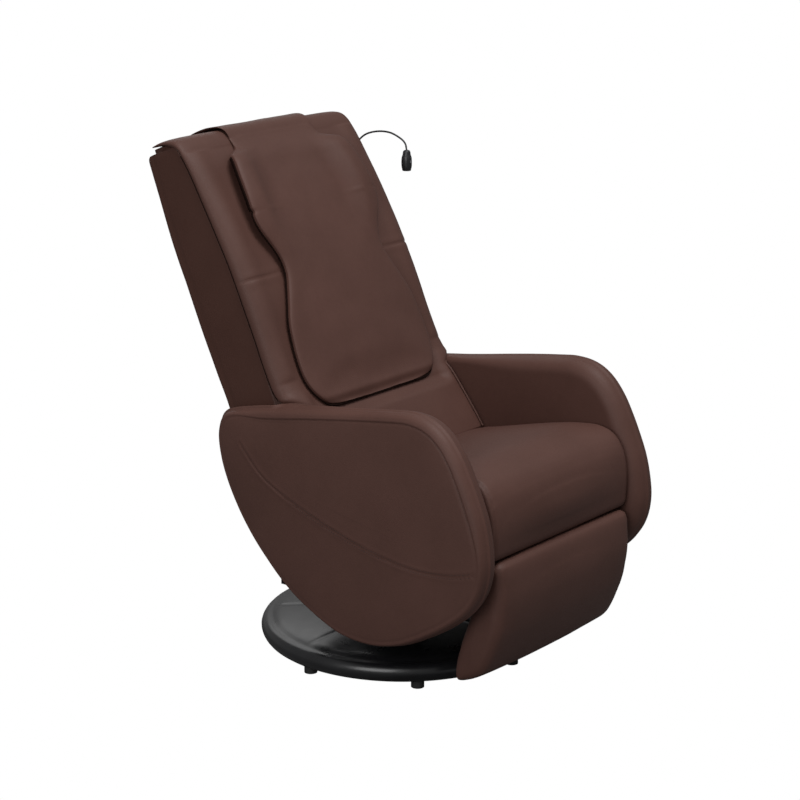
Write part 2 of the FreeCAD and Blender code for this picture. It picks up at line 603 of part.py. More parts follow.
def make_lamp():
    face = size["back_width"] / 2
    socket = rod("socket_disc", 13, 12, (face, LAMP_ROOT[0], LAMP_ROOT[1]), ALONG_X)
    hole = rod("socket_hole", "dims.plug_radius + dims.running_gap", 30, (face + 3, LAMP_ROOT[0], LAMP_ROOT[1]), ALONG_X)
    node(cut("socket", socket, hole), "lamp_socket")

    route = [(face + 4, 380, 1000), (LAMP_X, 380, 1000), (LAMP_X, 370, 1030), (LAMP_X, 342, 1051),
             (LAMP_X, 297, 1062), (LAMP_X, 252, 1057), (LAMP_X, 229, 1041), (LAMP_X, 226, 1020)]
    points = [FreeCAD.Vector(*spot) for spot in route]
    radii = []
    for index in range(1, len(points) - 1):
        back = points[index - 1] - points[index]
        ahead = points[index + 1] - points[index]
        half_turn = (math.pi - back.getAngle(ahead)) / 2
        radii.append(0.45 * min(back.Length, ahead.Length) / math.tan(half_turn))
    wire = stem_wire(points, radii)
    start = wire.Vertexes[0].Point
    ring = Part.Wire([Part.Circle(start, X_AXIS, size["stem_radius"]).toShape()])
    swept = wire.makePipeShell([ring], True, True)
    plug_start = FreeCAD.Vector(face + 3.05, LAMP_ROOT[0], LAMP_ROOT[1])
    plug = Part.makeCylinder(size["plug_radius"], 9, plug_start, X_AXIS)
    knuckle = Part.makeSphere(size["knuckle_radius"], points[-1])
    stem = doc.addObject("Part::Feature", "stem")
    stem.Shape = swept.fuse([plug, knuckle])
    node(stem, "lamp_stem")
    length = wire.Length
    section = math.pi * size["stem_radius"] ** 2
    print("stem volume ratio %.3f, radii %s" % (swept.Volume / (section * length), [round(r) for r in radii]))

    head_spot = points[-1]
    head = turned_body("head_shell", [
        (0, -5.05), ((4.40, -2.48), (4.2, 2.8)), (6.5, 2.8), ((8.5, -0.5), (9, -6)), (10.5, -10),
        ((11.7, -22), (11, -36)), (9.5, -43), (8, -43), (8, -37), (0, -34)])
    push_hole = rod("push_hole", "dims.button_radius + 0.2", 15, (0, -18, -BUTTON_DROP), ALONG_Y)
    whole = cut("head", head, push_hole)
    whole.Placement = FreeCAD.Placement(head_spot, UPRIGHT)
    node(whole, "lamp_head")
    lens = rod("lens", d("lens_radius"), 5.5, (head_spot.x, head_spot.y, head_spot.z - 42.5), UPRIGHT)
    node(lens, "lamp_lens")
    button = rod("push", d("button_radius"), 8, (head_spot.x, head_spot.y - 13, head_spot.z - BUTTON_DROP), ALONG_Y)
    node(button, "lamp_button")


# ---------------------------------------------------------------- build

make_base()
make_bearing()
make_seat_frame()
make_arm(-1, "left")
make_arm(1, "right")
make_seat_cushion()
make_hinge_brackets()
make_recline_drive()
make_rear_cover()
make_legrest()
make_back_shell()
make_back_cushion()
make_back_frame()
make_lead_screw()
make_carriage()
make_kneading()
make_back_pad()
make_lamp()

doc.recompute()

faults = [thing.Name for thing in doc.Objects if "Invalid" in thing.State or "Error" in thing.State]
for thing in nodes:
    if thing.Shape.isNull() or not thing.Shape.isValid():
        faults.append(thing.Label + " shape")
if faults:
    raise RuntimeError("faulty: %s" % faults)

os.makedirs("parts", exist_ok=True)
for thing in nodes:
    thing.Shape.exportStep("parts/%s.step" % thing.Label)
print(len(nodes), "nodes written")
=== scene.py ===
import json
import math

import bmesh
import bpy
import numpy as np
from mathutils import Matrix, Vector, noise


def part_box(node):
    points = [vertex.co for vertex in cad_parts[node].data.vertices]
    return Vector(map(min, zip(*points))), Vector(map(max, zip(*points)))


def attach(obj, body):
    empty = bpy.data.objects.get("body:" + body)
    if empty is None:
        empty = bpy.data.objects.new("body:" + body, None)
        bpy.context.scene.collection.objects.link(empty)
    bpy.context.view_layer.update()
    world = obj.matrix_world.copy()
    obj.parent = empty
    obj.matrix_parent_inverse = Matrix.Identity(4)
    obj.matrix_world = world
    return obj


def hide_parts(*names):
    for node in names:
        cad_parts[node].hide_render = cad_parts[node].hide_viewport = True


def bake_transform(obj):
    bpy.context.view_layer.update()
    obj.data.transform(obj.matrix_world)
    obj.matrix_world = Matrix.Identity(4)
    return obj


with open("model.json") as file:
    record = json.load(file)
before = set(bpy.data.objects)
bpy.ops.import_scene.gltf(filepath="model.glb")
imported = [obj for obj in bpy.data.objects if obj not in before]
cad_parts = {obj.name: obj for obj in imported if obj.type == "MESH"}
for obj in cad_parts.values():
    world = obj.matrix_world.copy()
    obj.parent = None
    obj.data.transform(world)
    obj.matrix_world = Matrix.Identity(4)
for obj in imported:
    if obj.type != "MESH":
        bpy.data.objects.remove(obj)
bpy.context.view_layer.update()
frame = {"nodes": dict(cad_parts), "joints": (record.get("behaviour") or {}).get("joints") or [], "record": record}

# ---- frame facts

joints = {joint["name"]: joint for joint in frame["joints"]}
UP_BACK = np.array(joints["carriage_lift"]["axis"])
OUT_BACK = np.array([0.0, -UP_BACK[2], UP_BACK[1]])
BACK_FOOT = np.array([0.0, 0.269, 0.540])
LAMP_BALL = Vector(joints["lamp_head_tilt"]["pos_m"])
LEGREST_HALF = (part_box("legrest_pad")[1].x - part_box("legrest_pad")[0].x) / 2
BACK_HALF = (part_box("back_shell")[1].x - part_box("back_shell")[0].x) / 2
ARM_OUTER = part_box("right_arm_outer_pad")[1].x
ARM_BOARD_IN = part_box("right_arm_board")[0].x
ARM_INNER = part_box("right_arm_inner_pad")[0].x
BASE_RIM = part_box("base_cover")[1].x
MM = 0.001


def on_back(x, depth, height):
    """A point of the back, from its depth out of the rear face and its height up the slope."""
    spot = BACK_FOOT + UP_BACK * height + OUT_BACK * depth
    return Vector((x, spot[1], spot[2]))


def smooth(low, high, value):
    """0 below low, 1 above high, and a smooth step between."""
    share = min(max((value - low) / (high - low), 0.0), 1.0)
    return share * share * (3 - 2 * share)


def spline(points, count, closed=False):
    """count points, evenly spaced, on a Catmull-Rom curve through points."""
    ring = [np.array(point, float) for point in points]
    if closed:
        ring = [ring[-1]] + ring + [ring[0], ring[1]]
    else:
        ring = [2 * ring[0] - ring[1]] + ring + [2 * ring[-1] - ring[-2]]
    dense = []
    steps = 24
    for index in range(1, len(ring) - 2):
        a, b, c, d = ring[index - 1:index + 3]
        for step in range(steps):
            t = step / steps
            dense.append(0.5 * (2 * b + (c - a) * t + (2 * a - 5 * b + 4 * c - d) * t ** 2
                                + (3 * b - a - 3 * c + d) * t ** 3))
    dense.append(ring[-2])
    dense = np.array(dense)
    run = np.concatenate([[0], np.cumsum(np.linalg.norm(np.diff(dense, axis=0), axis=1))])
    wanted = np.linspace(0, run[-1], count + 1)[:-1] if closed else np.linspace(0, run[-1], count)
    return np.stack([np.interp(wanted, run, dense[:, axis]) for axis in range(dense.shape[1])], 1)


def sideways(points):
    """Unit vectors square to a plane curve of points."""
    tangent = np.gradient(points, axis=0)
    tangent /= np.linalg.norm(tangent, axis=1, keepdims=True)
    return np.stack([-tangent[:, 1], tangent[:, 0]], 1)


def lookup(table, value):
    """The second column of a short table at value, eased between its rows."""
    keys = [row[0] for row in table]
    vals = [row[1] for row in table]
    if value <= keys[0]:
        return vals[0]
    for index in range(len(keys) - 1):
        if value <= keys[index + 1]:
            t = (value - keys[index]) / (keys[index + 1] - keys[index])
            before = vals[max(index - 1, 0)]
            after = vals[min(index + 2, len(vals) - 1)]
            a, b = vals[index], vals[index + 1]
            span = keys[index + 1] - keys[index]
            slope_a = (b - before) / (keys[index + 1] - keys[max(index - 1, 0)]) * span
            slope_b = (after - a) / (keys[min(index + 2, len(keys) - 1)] - keys[index]) * span
            return ((2 * t ** 3 - 3 * t ** 2 + 1) * a + (t ** 3 - 2 * t ** 2 + t) * slope_a
                    + (3 * t ** 2 - 2 * t ** 3) * b + (t ** 3 - t ** 2) * slope_b)
    return vals[-1]


# ---- mesh helpers

def link_mesh(name, mesh):
    """An object of a smooth-shaded mesh, in the scene."""
    mesh.shade_smooth()
    thing = bpy.data.objects.new(name, mesh)
    bpy.context.scene.collection.objects.link(thing)
    return thing


def make_object(name, verts, faces):
    mesh = bpy.data.meshes.new(name)
    mesh.from_pydata([tuple(vert) for vert in verts], [], faces)
    shape = bmesh.new()
    shape.from_mesh(mesh)
    bmesh.ops.remove_doubles(shape, verts=shape.verts, dist=1e-6)
    bmesh.ops.recalc_face_normals(shape, faces=shape.faces)
    shape.to_mesh(mesh)
    shape.free()
    return link_mesh(name, mesh)


def grid(name, rows, close_rows=False, close_columns=False, cap_ends=False):
    """A mesh over rows of equal length; a row is a list of points."""
    across = len(rows[0])
    down = len(rows)
    verts = [point for row in rows for point in row]
    faces = []
    for r in range(down if close_rows else down - 1):
        nxt = (r + 1) % down
        for c in range(across if close_columns else across - 1):
            nc = (c + 1) % across
            faces.append((r * across + c, r * across + nc, nxt * across + nc, nxt * across + c))
    if cap_ends:
        faces.append(tuple(range(across - 1, -1, -1)))
        faces.append(tuple((down - 1) * across + c for c in range(across)))
    return make_object(name, verts, faces)


def solid(name, rows):
    """A closed mesh over rows that each go once round it."""
    return grid(name, rows, close_columns=True, cap_ends=True)


def join(name, things):
    """One object out of several."""
    shape = bmesh.new()
    for thing in things:
        thing.data.transform(thing.matrix_world)
        shape.from_mesh(thing.data)
        bpy.data.objects.remove(thing)
    mesh = bpy.data.meshes.new(name)
    shape.to_mesh(mesh)
    shape.free()
    return link_mesh(name, mesh)


def circle(count):
    """Angles evenly spaced round a circle."""
    return [2 * math.pi * step / count for step in range(count)]


def tube(name, path, radius, sides=10, closed=False):
    """A round tube along path; radius is a number or a function of the distance along it."""
    path = [Vector(point) for point in path]
    turns = circle(sides)
    rows = []
    run = 0.0
    side = None
    for index, here in enumerate(path):
        before = path[index - 1] if index or closed else here
        after = path[(index + 1) % len(path)] if index < len(path) - 1 or closed else here
        ahead = (after - before).normalized()
        if side is None:
            side = ahead.orthogonal().normalized()
        side = (side - ahead * side.dot(ahead)).normalized()
        other = ahead.cross(side)
        size = radius(run) if callable(radius) else radius
        rows.append([here + (side * math.cos(turn) + other * math.sin(turn)) * size for turn in turns])
        if index < len(path) - 1:
            run += (path[index + 1] - here).length
    return grid(name, rows, close_rows=closed, close_columns=True, cap_ends=not closed)


def lathe(name, profile, centre, turns=64, axis=(0, 0, 1)):
    """A solid of revolution from (radius, height) points that start and end on the axis."""
    turn = Vector((0, 0, 1)).rotation_difference(Vector(axis))
    rows = []
    for radius, height in profile:
        size = max(radius, 1e-5)
        row = []
        for angle in circle(turns):
            spot = Vector((size * math.cos(angle), size * math.sin(angle), height))
            row.append(Vector(centre) + turn @ spot)
        rows.append(row)
    return solid(name, rows)


def stitches(name, path, normals, length=4.2 * MM, pitch=6.4 * MM, radius=0.55 * MM):
    """A row of sewn stitches: short rounded threads lying along a path."""
    shape = bmesh.new()
    path = [Vector(point) for point in path]
    run = [0.0]
    for index in range(1, len(path)):
        run.append(run[-1] + (path[index] - path[index - 1]).length)
    spot = pitch
    index = 0
    while spot < run[-1] - pitch:
        while run[index + 1] < spot:
            index += 1
        share = (spot - run[index]) / (run[index + 1] - run[index])
        here = path[index].lerp(path[index + 1], share)
        ahead = (path[index + 1] - path[index]).normalized()
        up = Vector(normals[index]).normalized()
        side = ahead.cross(up).normalized()
        turn = Matrix((ahead, side, up)).transposed().to_4x4()
        size = Matrix.Diagonal((length / 2, radius, radius, 1))
        placed = Matrix.Translation(here) @ turn @ size
        bmesh.ops.create_icosphere(shape, subdivisions=1, radius=1.0, matrix=placed)
        spot += pitch
    mesh = bpy.data.meshes.new(name)
    shape.to_mesh(mesh)
    shape.free()
    return link_mesh(name, mesh)


def wobble(point, scale, size, seed=0.0):
    """Smooth unevenness of about size, over waves of about scale metres."""
    where = Vector((point[0] / scale + seed, point[1] / scale, point[2] / scale))
    return size * noise.fractal(where, 1.0, 2.0, 2)


# ---- materials

def new_material(name):
    material = bpy.data.materials.new(name)
    material.use_nodes = True
    tree = material.node_tree
    shader = tree.nodes["Principled BSDF"]
    place = tree.nodes.new("ShaderNodeTexCoord").outputs["Object"]
    return material, tree, shader, place


def new_node(tree, kind, **values):
    """A shader node with these inputs; an underscore stands for the space in an input's name."""
    node = tree.nodes.new("ShaderNode" + kind)
    for name, value in values.items():
        node.inputs[name.replace("_", " ")].default_value = value
    return node


def noise_node(tree, place, scale, detail=3.0, rough=0.55):
    node = new_node(tree, "TexNoise", Scale=scale, Detail=detail, Roughness=rough)
    tree.links.new(place, node.inputs["Vector"])
    return node.outputs["Fac"]


def ramp(tree, source, low, high, first, second):
    node = new_node(tree, "MapRange", From_Min=low, From_Max=high, To_Min=first, To_Max=second)
    tree.links.new(source, node.inputs["Value"])
    return node.outputs["Result"]


def tint(tree, shader, factor, first, second):
    """Colours the surface between two shades."""
    node = tree.nodes.new("ShaderNodeMix")
    node.data_type = "RGBA"
    node.inputs["A"].default_value = (*first, 1)
    node.inputs["B"].default_value = (*second, 1)
    tree.links.new(factor, node.inputs["Factor"])
    tree.links.new(node.outputs["Result"], shader.inputs["Base Color"])


def add(tree, first, second, factor=1.0):
    node = tree.nodes.new("ShaderNodeMath")
    node.operation = "MULTIPLY_ADD"
    node.inputs[1].default_value = factor
    tree.links.new(second, node.inputs[0])
    tree.links.new(first, node.inputs[2])
    return node.outputs["Value"]


def bump(tree, shader, height, distance, strength=1.0):
    node = new_node(tree, "Bump", Distance=distance, Strength=strength)
    tree.links.new(height, node.inputs["Height"])
    tree.links.new(node.outputs["Normal"], shader.inputs["Normal"])


def leather(name, dark, light, grain=430.0, rough=(0.50, 0.64)):
    """Soft upholstery leather: pebbled grain, fine pores, slow colour drift and rubbed high spots."""
    material, tree, shader, place = new_material(name)
    cells = new_node(tree, "TexVoronoi", Scale=grain, Randomness=0.9)
    warp = tree.nodes.new("ShaderNodeVectorMath")
    warp.operation = "MULTIPLY_ADD"
    warp.inputs[1].default_value = (0.004, 0.004, 0.004)
    drift = new_node(tree, "TexNoise", Scale=60)
    tree.links.new(place, drift.inputs["Vector"])
    tree.links.new(drift.outputs["Color"], warp.inputs[0])
    tree.links.new(place, warp.inputs[2])
    tree.links.new(warp.outputs["Vector"], cells.inputs["Vector"])
    pebbles = ramp(tree, cells.outputs["Distance"], 0.0, 0.75, 1.0, 0.0)
    pores = noise_node(tree, place, 1500, 2)
    height = add(tree, pebbles, pores, 0.35)
    bump(tree, shader, height, 0.00022, 0.55)
    slow = noise_node(tree, place, 5.5, 4)
    fine = noise_node(tree, place, 90, 3)
    blend = add(tree, slow, fine, 0.25)
    tint(tree, shader, ramp(tree, blend, 0.35, 0.85, 0.0, 1.0), dark, light)
    tree.links.new(ramp(tree, pebbles, 0.0, 1.0, rough[1], rough[0]), shader.inputs["Roughness"])
    shader.inputs["Specular IOR Level"].default_value = 0.26
    return material


def plastic(name, colour, rough, texture=0.00005, scale=900.0, coat=0.0):
    """Moulded plastic with a fine spark-eroded texture and faint handling marks."""
    material, tree, shader, place = new_material(name)
    fine = noise_node(tree, place, scale, 2)
    marks = noise_node(tree, place, 14, 5, 0.7)
    bump(tree, shader, fine, texture, 0.5)
    lighter = tuple(channel * 1.35 + 0.002 for channel in colour)
    tint(tree, shader, ramp(tree, marks, 0.3, 0.8, 0.0, 1.0), colour, lighter)
    tree.links.new(ramp(tree, marks, 0.3, 0.75, rough * 0.85, rough * 1.2), shader.inputs["Roughness"])
    if coat:
        shader.inputs["Coat Weight"].default_value = coat
        shader.inputs["Coat Roughness"].default_value = 0.08
    return material


def metal(name, colour, rough, brushed=True):
    material, tree, shader, place = new_material(name)
    stretch = new_node(tree, "Mapping", Scale=(30, 900, 900) if brushed else (300, 300, 300))
    tree.links.new(place, stretch.inputs["Vector"])
    lines = noise_node(tree, stretch.outputs["Vector"], 1.0, 3)
    bump(tree, shader, lines, 0.00003, 0.4)
    tint(tree, shader, lines, colour, tuple(channel * 0.8 for channel in colour))
    tree.links.new(ramp(tree, lines, 0.3, 0.7, rough * 0.8, rough * 1.3), shader.inputs["Roughness"])
    shader.inputs["Metallic"].default_value = 1.0
    return material


def painted(name, colour):
    """Powder coat on steel: slight orange peel."""
    material, tree, shader, place = new_material(name)
    peel = noise_node(tree, place, 420, 2)
    wear = noise_node(tree, place, 22, 5, 0.7)
    bump(tree, shader, peel, 0.00012, 0.4)
    tint(tree, shader, ramp(tree, wear, 0.35, 0.8, 0, 1), colour, tuple(channel * 1.5 for channel in colour))
    tree.links.new(ramp(tree, wear, 0.3, 0.8, 0.42, 0.6), shader.inputs["Roughness"])
    return material


def plywood(name):
    material, tree, shader, place = new_material(name)
    stretch = new_node(tree, "Mapping", Scale=(260, 9, 9))
    tree.links.new(place, stretch.inputs["Vector"])
    grain = noise_node(tree, stretch.outputs["Vector"], 1.0, 5, 0.65)
    tint(tree, shader, ramp(tree, grain, 0.35, 0.7, 0, 1), (0.42, 0.27, 0.14), (0.60, 0.43, 0.26))
    bump(tree, shader, grain, 0.0002, 0.4)
    shader.inputs["Roughness"].default_value = 0.62
    return material


def frosted(name):
    material, tree, shader, place = new_material(name)
    cells = noise_node(tree, place, 700, 2)
    bump(tree, shader, cells, 0.0001, 0.4)
    tint(tree, shader, cells, (0.62, 0.64, 0.66), (0.78, 0.79, 0.80))
    shader.inputs["Roughness"].default_value = 0.22
    shader.inputs["Coat Weight"].default_value = 0.6
    return material


looks = {
    "leather": leather("leather_brown", (0.0688, 0.0303, 0.0228), (0.0860, 0.0392, 0.0303)),
    # leather_side is the same leather made darker: painted shade for the back's box and its side panels.
    "leather_side": leather("leather_side", (0.0520, 0.0198, 0.0134), (0.0640, 0.0262, 0.0184)),
    "base_gloss": plastic("base_gloss", (0.006, 0.006, 0.007), 0.30, 0.00002, 500, coat=0.08),
    "black_plastic": plastic("black_plastic", (0.009, 0.009, 0.010), 0.40),
    "grey_plastic": plastic("grey_plastic", (0.13, 0.13, 0.14), 0.5),
    "steel": metal("steel", (0.50, 0.51, 0.52), 0.3),
    "black_steel": painted("black_steel", (0.020, 0.020, 0.021)),
    "zinc": metal("zinc", (0.62, 0.63, 0.62), 0.32, False),
    "wood": plywood("plywood"),
    "rubber": plastic("rubber", (0.014, 0.014, 0.014), 0.75, 0.00015, 500),
    "roller": plastic("roller", (0.05, 0.05, 0.055), 0.6, 0.0001, 500),
    "lens": frosted("lens"),
}
thread = plastic("thread", (0.024, 0.012, 0.010), 0.7, 0.0001, 2500)
# A near-black, dull material for thin strips where the cover and the pad meet: painted shadow in those gaps, and
# on the pad's rim also its binding. Its reflection is turned down so that it reads as shade.
painted_gap_shadow = plastic("binding_and_painted_shadow", (0.0075, 0.0030, 0.0022), 0.95)
painted_gap_shadow.node_tree.nodes["Principled BSDF"].inputs["Specular IOR Level"].default_value = 0.04

node_slots = {part["node"]: part["material_slot"] for part in frame["record"]["subparts"]}
for node_name, slot_name in node_slots.items():
    mesh = frame["nodes"][node_name].data
    mesh.materials.clear()
    mesh.materials.append(looks[slot_name])


def paint(thing, slot_name, replaced=(), material=None):
    """Material, slot and what the piece stands for."""
    thing.data.materials.clear()
    thing.data.materials.append(material or looks[slot_name])
    if replaced:
        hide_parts(*replaced)


def finish(thing, body, slot_name, replaced=(), material=None):
    """A rigid or soft piece that goes with one body."""
    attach(thing, body)
    paint(thing, slot_name, replaced, material)
    return thing


# ---- cloth

CLOTH_STIFFNESS = 12.0
CLOTH_FRAMES = 14
EVENING_ROUNDS = 24


def puff(thing, voxel, pressure, cap, held):
    """Swells a closed pad with a cloth simulation, then applies it.

    voxel is the even mesh it gets first, or None where its own mesh is even and too thin for that.
    cap is how far a point may move; held(point) is true where the cover is sewn down.
    """
    bpy.context.view_layer.objects.active = thing
    if voxel:
        remesh = thing.modifiers.new("even", "REMESH")
        remesh.mode = "VOXEL"
        remesh.voxel_size = voxel
        remesh.use_smooth_shade = True
        apply_modifiers(thing)
    rest = np.array([vert.co[:] for vert in thing.data.vertices])
    cloth = thing.modifiers.new("cloth", "CLOTH")
    cloth.settings.quality = 4
    cloth.settings.mass = 0.4
    cloth.settings.tension_stiffness = CLOTH_STIFFNESS
    cloth.settings.compression_stiffness = CLOTH_STIFFNESS
    cloth.settings.shear_stiffness = CLOTH_STIFFNESS / 2
    cloth.settings.bending_stiffness = 1.5
    cloth.settings.use_pressure = True
    cloth.settings.uniform_pressure_force = pressure
    cloth.settings.effector_weights.gravity = 0.0
    cloth.collision_settings.use_self_collision = False
    group = thing.vertex_groups.new(name="sewn")
    group.add([vert.index for vert in thing.data.vertices if held(vert.co)], 1.0, "REPLACE")
    cloth.settings.vertex_group_mass = "sewn"
    cloth.point_cache.frame_start = 1
    cloth.point_cache.frame_end = CLOTH_FRAMES
    scene = bpy.context.scene
    for number in range(1, CLOTH_FRAMES + 1):
        scene.frame_set(number)
    apply_modifiers(thing)
    moved = np.array([vert.co[:] for vert in thing.data.vertices])
    shift = moved - rest
    length = np.linalg.norm(shift, axis=1, keepdims=True)
    shift *= np.minimum(1.0, cap / np.maximum(length, 1e-9))
    shift = spread(thing, shift)
    thing.data.vertices.foreach_set("co", (rest + shift).astype(np.float32).ravel())
    thing.vertex_groups.clear()
    scene.frame_set(1)


def spread(thing, values):
    """Evens out a value per point along the mesh's edges, so that the cover lies tight, without creases."""
    edges = np.empty(len(thing.data.edges) * 2, dtype=np.int64)
    thing.data.edges.foreach_get("vertices", edges)
    first, second = edges.reshape(-1, 2).T
    total = np.bincount(edges, minlength=len(values))[:, None]
    for _ in range(EVENING_ROUNDS):
        near = np.zeros_like(values)
        for axis in range(3):
            near[:, axis] = np.bincount(first, values[second, axis], len(values))
            near[:, axis] += np.bincount(second, values[first, axis], len(values))
        values = 0.4 * values + 0.6 * near / total
    return values


def apply_modifiers(thing):
    graph = bpy.context.evaluated_depsgraph_get()
    mesh = bpy.data.meshes.new_from_object(thing.evaluated_get(graph))
    old = thing.data
    thing.modifiers.clear()
    thing.data = mesh
    mesh.name = thing.name
    bpy.data.meshes.remove(old)
    mesh.shade_smooth()


def refine(thing):
    """One level of subdivision, applied."""
    shape = thing.modifiers.new("soft", "SUBSURF")
    shape.levels = 1
    shape.render_levels = 1
    apply_modifiers(thing)


# ---- arms

# Side view, as (y, z): the arm's outline, and the curved seam on its outer face.
ARM_CROWN = [
    (0.212, 0.549), (0.12, 0.568), (0.0, 0.588), (-0.12, 0.607), (-0.21, 0.62), (-0.262, 0.625),
    (-0.306, 0.617), (-0.342, 0.595), (-0.372, 0.56), (-0.395, 0.52), (-0.415, 0.478), (-0.432, 0.435),
    (-0.442, 0.39), (-0.446, 0.345), (-0.441, 0.305), (-0.427, 0.27), (-0.402, 0.238), (-0.362, 0.205),
    (-0.313, 0.173), (-0.25, 0.139), (-0.2, 0.122), (-0.15, 0.114), (-0.09, 0.117), (-0.035, 0.134),
    (0.034, 0.168), (0.081, 0.201), (0.121, 0.237), (0.157, 0.274), (0.188, 0.313), (0.213, 0.352),
    (0.234, 0.393), (0.249, 0.434), (0.257, 0.477), (0.255, 0.508), (0.243, 0.534)
]
ARM_SEAM = [
    (0.186, 0.487), (0.142, 0.443), (0.114, 0.422), (0.072, 0.401), (0.017, 0.379), (-0.037, 0.36),
    (-0.091, 0.344), (-0.144, 0.33), (-0.222, 0.317), (-0.274, 0.312), (-0.324, 0.312), (-0.387, 0.32),
    (-0.436, 0.334)
]
# The ridge that the arm's two faces close on.
ARM_SPINE = ((-0.245, 0.372), (0.060, 0.425))
SEAM_REAR = np.array([0.226, 0.543])
SEAM_FRONT = np.array([-0.446, 0.338])
SEAM_INSET = 0.019
PLAIN_INSET = 0.012


def back_depth(y, z):
    """How far in front of the back's rear face a point of the side view is."""
    return (y - BACK_FOOT[1]) * OUT_BACK[1] + (z - BACK_FOOT[2]) * OUT_BACK[2]


def arm_inner_x(y, z):
    """The arm is thin beside the back and thick in front of it."""
    share = smooth(0.160, 0.176, back_depth(y, z))
    return ARM_BOARD_IN + 0.0008 + (ARM_INNER - ARM_BOARD_IN) * share


def face_bulge(share):
    """How far the outer face swells, from its edge at 0 to its middle at 1."""
    return 0.0085 * (1 - (1 - share) ** 2.4)


def make_arm(side, name):
    """A closed loft in rings: outer face, sewn edge, over the crown, and the inner face."""
    count = 300
    crown = spline(ARM_CROWN, count, closed=True)
    start, end = (np.array(point) for point in ARM_SPINE)
    along = end - start
    share = np.clip(((crown - start) @ along) / (along @ along), 0.02, 0.98)
    spine = start + share[:, None] * along
    reach = np.linalg.norm(spine - crown, axis=1)
    inward = (spine - crown) / reach[:, None]
    # The innermost ring stops short of the spine, so that it stays open.
    deepest = reach * 0.97
    rear = int(np.argmin(np.linalg.norm(crown - SEAM_REAR, axis=1)))
    front = int(np.argmin(np.linalg.norm(crown - SEAM_FRONT, axis=1)))
    sewn = np.zeros(count)
    for index in range(count):
        steps = (index - rear) % count
        span = (front - rear) % count
        if steps <= span:
            sewn[index] = smooth(0, 14, steps) * smooth(0, 18, span - steps)
    inset = PLAIN_INSET + (SEAM_INSET - PLAIN_INSET) * sewn
    outer = ARM_OUTER - 0.0065
    lift = 0.0008
    seam_points = spline(ARM_SEAM, 400)

    def turn_depth(y):
        """The crown turns into the inner face tightly beside the back and gently at the front."""
        return 0.012 + 0.021 * smooth(0.06, -0.16, y)

    def rise(y):
        """The crown stands a little higher towards the rear."""
        return 0.0062 * smooth(0.0, 0.13, y)

    def inner_round(inner, y):
        return min(turn_depth(y), (outer - inner) * 0.52)

    def outer_round(inner):
        return min(0.020, (outer - inner) * 0.45)

    def ring(off, place_x):
        points = []
        for index in range(count):
            y, z = crown[index] + inward[index] * min(off(index), deepest[index])
            points.append(Vector((side * place_x(index, y, z), y, z)))
        return points

    rows = []
    face_steps = 62
    for step in range(face_steps, 0, -1):
        part = step / face_steps

        def off(index, part=part):
            return inset[index] + 0.004 + (deepest[index] - inset[index] - 0.004) * part ** 1.1

        def face_x(index, y, z, part=part):
            gap = np.sqrt(((seam_points - (y, z)) ** 2).sum(1).min())
            groove = -0.0021 * math.exp(-(gap / 0.0017) ** 2)
            groove += 0.0007 * math.exp(-((gap - 0.006) / 0.004) ** 2)
            return outer + face_bulge(part) + groove + wobble((0.3 * side, y, z), 0.16, 0.0011)

        rows.append(ring(off, face_x))
    # Across the sewn edge and over the crown to the inner face.
    edge = ((0.0024, 0.0006), (0.0011, 0.0014), (0.0, 0.0030), (-0.0011, 0.0014), (-0.0026, 0.0003))
    for extra, dip in edge:
        def off(index, extra=extra):
            return inset[index] + extra

        def seam_x(index, y, z, dip=dip, extra=extra):
            return outer - dip * sewn[index] - 0.0015 * (1 - sewn[index]) + 0.0003

        rows.append(ring(off, seam_x))
    for turn in range(1, 11):
        angle = math.pi / 2 * turn / 10

        def off(index, angle=angle):
            return (inset[index] - 0.0026) * (1 - math.sin(angle)) - lift * math.sin(angle)

        def x(index, y, z, angle=angle):
            return outer - outer_round(arm_inner_x(y, z)) * (1 - math.cos(angle)) - 0.001

        rows.append(ring(off, x))
    for part in (0.2, 0.4, 0.6, 0.8, 1.0):
        def off(index, part=part):
            return -lift - 0.0028 * math.sin(math.pi * part) - rise(crown[index][0]) * smooth(0, 1, part)

        def x(index, y, z, part=part):
            inner = arm_inner_x(y, z)
            first = outer - outer_round(inner) - 0.001
            last = inner + inner_round(inner, y)
            return first + (last - first) * part

        rows.append(ring(off, x))
    for turn in range(1, 11):
        angle = math.pi / 2 * turn / 10

        def off(index, angle=angle):
            y = crown[index][0]
            return turn_depth(y) * (1 - math.cos(angle)) - lift - rise(y) * math.cos(angle)

        def x(index, y, z, angle=angle):
            inner = arm_inner_x(y, z)
            return inner + inner_round(inner, y) * (1 - math.sin(angle))

        rows.append(ring(off, x))
    inner_steps = 44
    for step in range(1, inner_steps + 1):
        part = step / inner_steps

        def off(index, part=part):
            near = turn_depth(crown[index][0]) - lift
            return near + (deepest[index] - near) * part

        def x(index, y, z, part=part):
            return arm_inner_x(y, z) + wobble((0.2 * side, y, z), 0.12, 0.0004)

        rows.append(ring(off, x))
    pad = solid(name, rows)
    sides = ("left", "right")[side > 0]
    finish(pad, "seat", "leather",
           [sides + "_arm_outer_pad", sides + "_arm_inner_pad", sides + "_arm_board"])
    sew_arm(side, name, crown, seam_points, outer)


def sew_arm(side, name, crown, seam_points, outer):
    """Two rows of stitches, one on each side of the outer face's seam."""
    pieces = []
    across = sideways(seam_points)
    for shift in (-0.0038, 0.0038):
        line = []
        for index in range(6, 392):
            y, z = seam_points[index] + across[index] * shift
            from_edge = np.linalg.norm(crown - (y, z), axis=1).min()
            part = min(max((from_edge - 0.023) / 0.19, 0.0), 1.0)
            x = outer + face_bulge(part ** (1 / 1.1))
            line.append(Vector((side * (x + 0.0008), y, z)))
        pieces.append(stitches(name + "_sewing", line, [(side, 0, 0)] * len(line)))
    sewing = join(name + "_stitches", pieces)
    finish(sewing, "seat", "leather", material=thread)


make_arm(-1, "arm_left_cover")
make_arm(1, "arm_right_cover")


# ---- cushions that run across the chair

